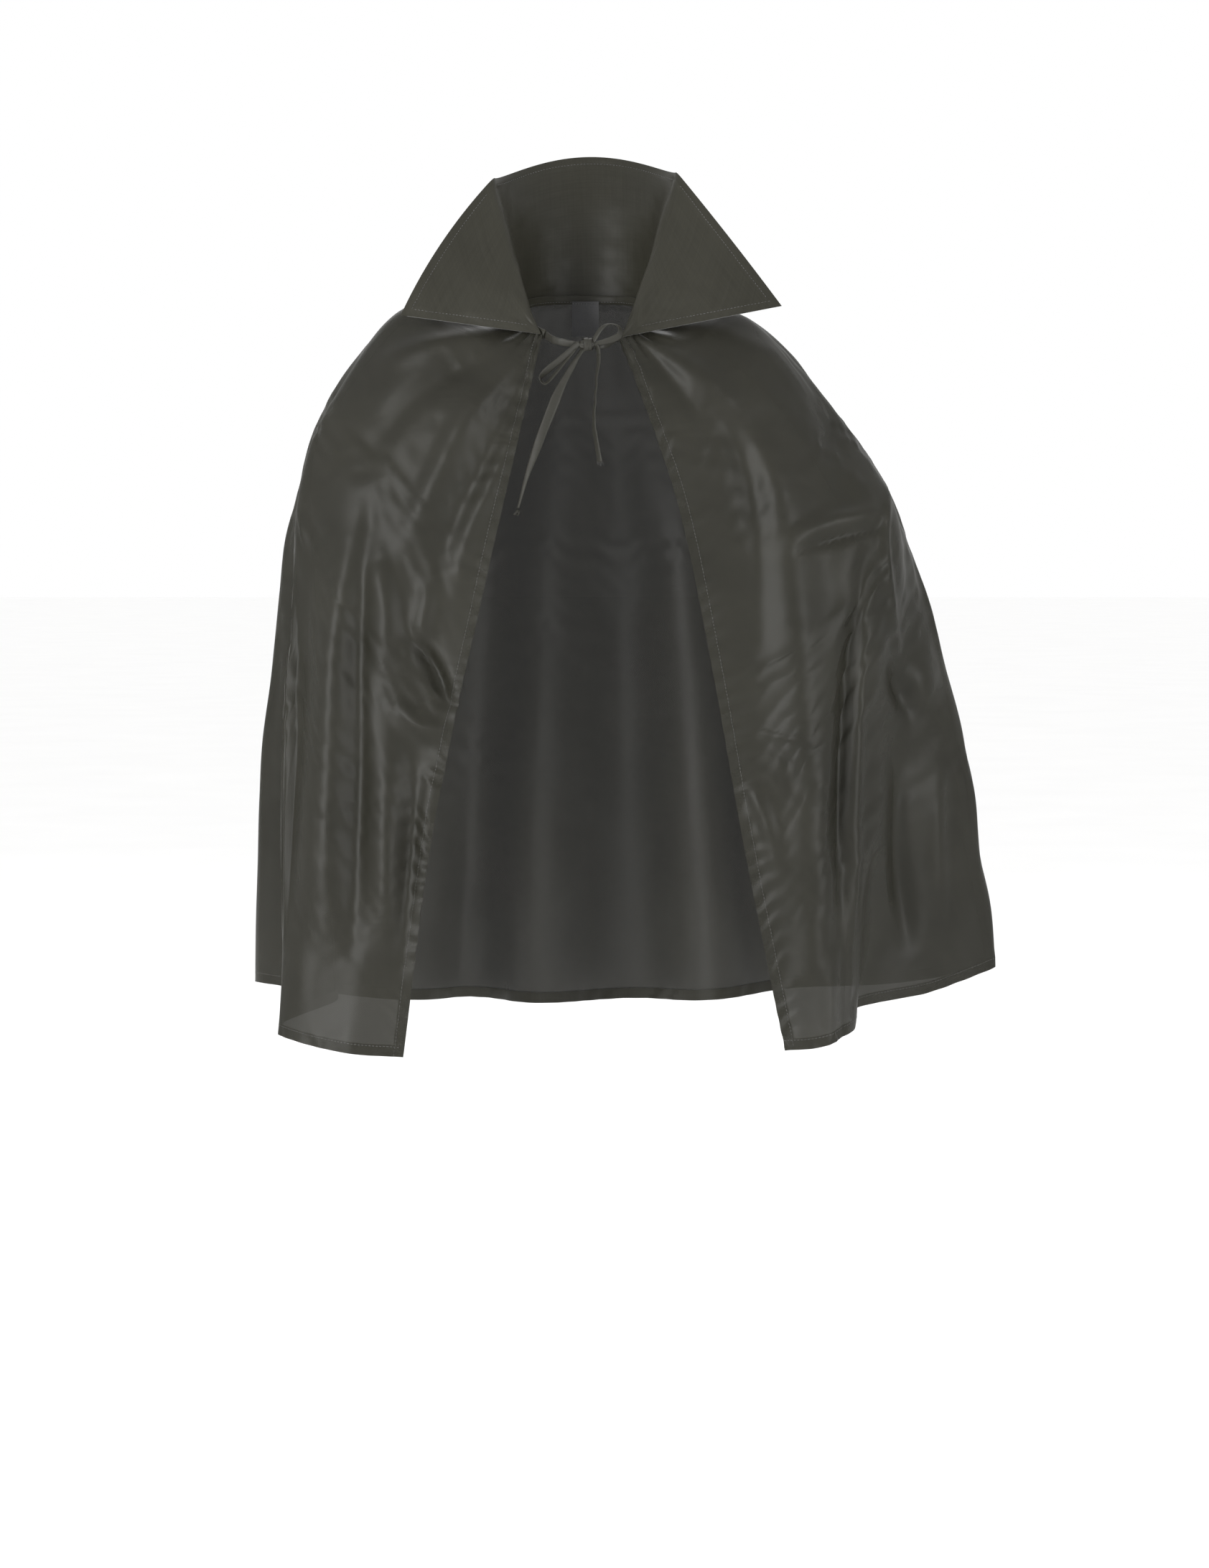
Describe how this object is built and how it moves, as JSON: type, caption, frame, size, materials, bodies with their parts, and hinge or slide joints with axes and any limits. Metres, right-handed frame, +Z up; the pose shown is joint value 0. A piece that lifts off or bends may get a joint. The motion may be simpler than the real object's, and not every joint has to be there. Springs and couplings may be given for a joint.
{
  "type": "costume cape with wing collar",
  "caption": "Child's short plain black masquerade cape with a tall stand-up pointed wing collar and a narrow neck tie in a bow, draped as worn.",
  "frame": {"origin": "centre of the neck opening, level with the neck seam over the shoulders", "axes": "+Z up, -Y to the front where the tie is, +X to the wearer's left"},
  "size_m": [0.6732, 0.2907, 0.7861],
  "materials": {
    "cape_cloth": "thin semi-sheer lining taffeta, soft satin sheen",
    "thread": "spun polyester sewing thread",
    "interfacing": "non-woven stiffener",
    "label": "blank black woven satin label"
  },
  "bodies": {
    "cape": {"back_panel": "cape_cloth", "left_side_panel": "cape_cloth", "right_side_panel": "cape_cloth", "left_front_yoke": "cape_cloth", "right_front_yoke": "cape_cloth", "back_hem_thread": "thread", "collar_back_top": "cape_cloth", "collar_back_under": "cape_cloth", "collar_back_interfacing": "interfacing", "collar_back_thread": "thread", "neck_binding": "cape_cloth", "neck_seam_thread": "thread", "bar_tacks": "thread", "care_label": "label", "left_strand": "cape_cloth", "right_strand": "cape_cloth", "tie_knot": "cape_cloth", "lower_loop": "cape_cloth", "upper_loop": "cape_cloth"},
    "left_front": {"left_front": "cape_cloth", "left_front_thread": "thread"},
    "right_front": {"right_front": "cape_cloth", "right_front_thread": "thread"},
    "left_wing": {"left_wing_top": "cape_cloth", "left_wing_under": "cape_cloth", "left_wing_interfacing": "interfacing", "left_wing_thread": "thread"},
    "right_wing": {"right_wing_top": "cape_cloth", "right_wing_under": "cape_cloth", "right_wing_interfacing": "interfacing", "right_wing_thread": "thread"},
    "left_tail": {"left_tail": "cape_cloth", "tail_end_knot": "cape_cloth"},
    "right_tail": {"right_tail": "cape_cloth"}
  },
  "joints": [
    {"name": "left_front_swing", "type": "hinge", "parent": "cape", "child": "left_front", "pos_m": [-0.266, -0.06, -0.614], "axis": [-0.0311, -0.0799, -0.9963], "range_deg": [0, 50]},
    {"name": "right_front_swing", "type": "hinge", "parent": "cape", "child": "right_front", "pos_m": [0.222, -0.1, -0.617], "axis": [0.0458, 0.0712, 0.9964], "range_deg": [0, 50]},
    {"name": "left_wing_turn", "type": "hinge", "parent": "cape", "child": "left_wing", "pos_m": [-0.03839, -0.04741, -0.01285], "axis": [-0.2716, 0.342, 0.8996], "range_deg": [0, 55]},
    {"name": "right_wing_turn", "type": "hinge", "parent": "cape", "child": "right_wing", "pos_m": [0.03142, -0.05229, -0.01575], "axis": [-0.2963, -0.3494, -0.8889], "range_deg": [0, 55]},
    {"name": "left_tail_swing", "type": "hinge", "parent": "cape", "child": "left_tail", "pos_m": [-0.005, -0.07, -0.033], "axis": [-1, 0, 0], "range_deg": [0, 33]},
    {"name": "right_tail_swing", "type": "hinge", "parent": "cape", "child": "right_tail", "pos_m": [0.012, -0.07, -0.033], "axis": [-1, 0, 0], "range_deg": [0, 70]}
  ]
}
